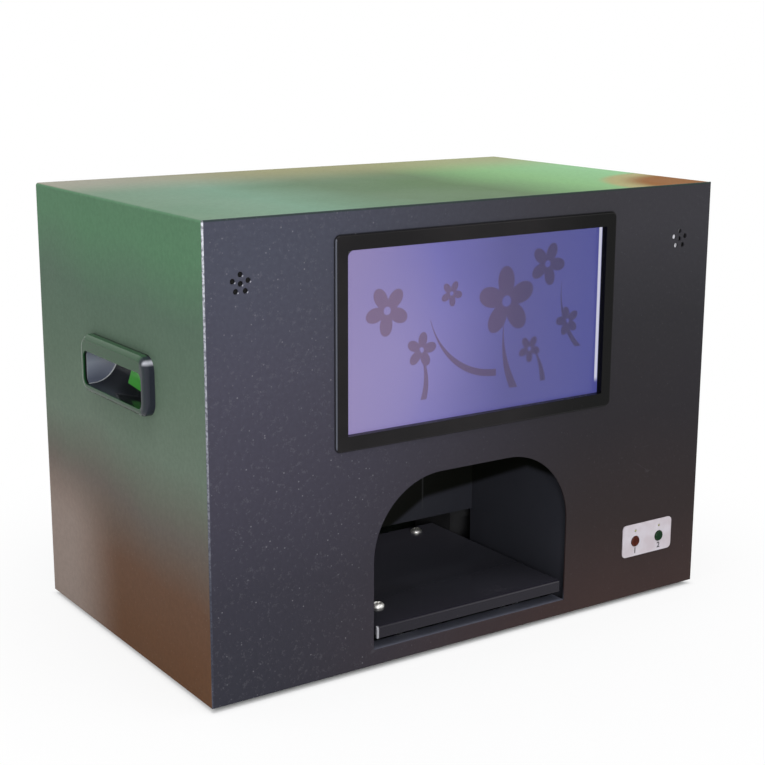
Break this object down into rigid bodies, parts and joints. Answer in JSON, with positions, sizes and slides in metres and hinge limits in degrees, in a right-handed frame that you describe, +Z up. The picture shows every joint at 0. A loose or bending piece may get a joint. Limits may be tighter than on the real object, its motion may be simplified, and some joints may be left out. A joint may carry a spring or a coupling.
{
  "type": "digital nail art printer",
  "caption": "Desktop nail printer: black sheet-metal box with a screen, an arched hand opening over a sliding tray, push buttons and side pull handles.",
  "frame": {"origin": "on the floor, under the middle of the box's footprint", "axes": "+X to the right seen from the front, the front faces -Y, +Z up"},
  "size_m": [0.538, 0.32, 0.387],
  "materials": {
    "front_paint": "satin black powder coat",
    "cover_paint": "satin black powder coat",
    "tray_paint": "gloss black stove enamel",
    "zinc_sheet": "zinc plated",
    "ground_steel": "ground",
    "head_steel": "bright",
    "socket_steel": "nickel plated",
    "motor_steel": "black with bare ends",
    "black_screw": "black oxide",
    "chrome_screw": "bright chrome",
    "chrome_wire": "bright plated wire",
    "aluminium_plate": "machined",
    "handle_plastic": "gloss black",
    "bezel_plastic": "gloss black",
    "liner_plastic": "smooth black",
    "black_plastic": "fine texture",
    "rocker_plastic": "gloss black",
    "label_plastic": "satin off-white",
    "button_red": "dark red brown",
    "button_green": "dark green",
    "lamp_plastic": "clear tinted",
    "speaker_cone": "paper cone and steel basket",
    "cartridge_plastic": "moulded",
    "circuit_board": "solder mask",
    "encoder_film": "clear film",
    "lcd_film": "lit screen",
    "screen_glass": "clear",
    "lens_glass": "coated",
    "belt_rubber": "toothed",
    "foot_rubber": "matte",
    "felt": "felt"
  },
  "bodies": {
    "root": {"front_panel": "front_paint", "wrap_cover": "cover_paint", "base_pan": "cover_paint", "rear_panel": "cover_paint", "rubber_feet": "foot_rubber", "case_screws": "black_screw", "handle_left": "handle_plastic", "handle_right": "handle_plastic", "screen_bezel": "bezel_plastic", "touch_glass": "screen_glass", "lcd_panel": "lcd_film", "lcd_brackets": "zinc_sheet", "speaker_left": "speaker_cone", "speaker_right": "speaker_cone", "button_plate": "label_plastic", "button_switches": "black_plastic", "button_board": "circuit_board", "indicator_leds": "lamp_plastic", "hand_bay_liner": "liner_plastic", "camera_module": "black_plastic", "camera_lens": "lens_glass", "tray_rods": "ground_steel", "rod_supports": "aluminium_plate", "tray_belt": "belt_rubber", "belt_idler_bracket": "zinc_sheet", "tray_motor": "motor_steel", "mechanism_frame": "zinc_sheet", "carriage_shaft": "ground_steel", "capping_station": "black_plastic", "carriage_belt": "belt_rubber", "carriage_motor": "motor_steel", "encoder_strip": "encoder_film", "waste_ink_pad": "felt", "electronics_shelf": "zinc_sheet", "mainboard": "circuit_board", "heat_sink": "aluminium_plate", "io_ports": "socket_steel", "power_supply": "zinc_sheet", "control_board": "circuit_board", "fan_frame": "black_plastic", "fan_guard": "chrome_wire", "power_inlet": "black_plastic", "switch_housing": "black_plastic"},
    "tray": {"hand_tray": "tray_paint", "tray_screws": "chrome_screw", "tray_carrier": "aluminium_plate", "tray_bearing_blocks": "aluminium_plate", "belt_clamp": "black_plastic"},
    "carriage": {"print_carriage": "black_plastic", "print_head": "head_steel", "ink_cartridges": "cartridge_plastic"},
    "tray_drive": {"tray_drive_pulley": "aluminium_plate"},
    "tray_idler": {"tray_idler_pulley": "aluminium_plate"},
    "carriage_drive": {"carriage_drive_pulley": "aluminium_plate"},
    "carriage_idler": {"carriage_idler_pulley": "aluminium_plate"},
    "fan": {"fan_rotor": "black_plastic"},
    "rocker": {"power_rocker": "rocker_plastic"},
    "left_button": {"button_left": "button_red"},
    "right_button": {"button_right": "button_green"}
  },
  "joints": [
    {"name": "tray_slide", "type": "slide", "parent": "root", "child": "tray", "axis": [0, 1, 0], "range_m": [-0.06, 0.08]},
    {"name": "carriage_slide", "type": "slide", "parent": "root", "child": "carriage", "axis": [1, 0, 0], "range_m": [-0.26, 0]},
    {"name": "tray_drive_turn", "type": "hinge", "parent": "root", "child": "tray_drive", "pos_m": [-0.005, 0.14, 0.018], "axis": [1, 0, 0], "range_deg": [-905, 680]},
    {"name": "tray_idler_turn", "type": "hinge", "parent": "root", "child": "tray_idler", "pos_m": [-0.005, -0.11, 0.018], "axis": [1, 0, 0], "range_deg": [-905, 680]},
    {"name": "carriage_drive_turn", "type": "hinge", "parent": "root", "child": "carriage_drive", "pos_m": [-0.165, 0.117, 0.15], "axis": [0, 1, 0], "range_deg": [-5, 2345]},
    {"name": "carriage_idler_turn", "type": "hinge", "parent": "root", "child": "carriage_idler", "pos_m": [0.165, 0.117, 0.15], "axis": [0, 1, 0], "range_deg": [-5, 2345]},
    {"name": "fan_spin", "type": "hinge", "parent": "root", "child": "fan", "pos_m": [0.17, 0.1475, 0.3], "axis": [0, 1, 0], "continuous": true},
    {"name": "rocker_tilt", "type": "hinge", "parent": "root", "child": "rocker", "pos_m": [-0.2, 0.1505, 0.1], "axis": [1, 0, 0], "range_deg": [0, 20]},
    {"name": "left_button_press", "type": "slide", "parent": "root", "child": "left_button", "axis": [0, 1, 0], "range_m": [0, 0.0018], "stiffness_N_per_m": 300, "springref_m": -0.001},
    {"name": "right_button_press", "type": "slide", "parent": "root", "child": "right_button", "axis": [0, 1, 0], "range_m": [0, 0.0018], "stiffness_N_per_m": 300, "springref_m": -0.001}
  ],
  "couplings": [
    {"joint": "tray_drive_turn", "follows": "tray_slide", "rad_per_m": -196.35},
    {"joint": "tray_idler_turn", "follows": "tray_slide", "rad_per_m": -196.35},
    {"joint": "carriage_drive_turn", "follows": "carriage_slide", "rad_per_m": -157.08},
    {"joint": "carriage_idler_turn", "follows": "carriage_slide", "rad_per_m": -157.08}
  ]
}
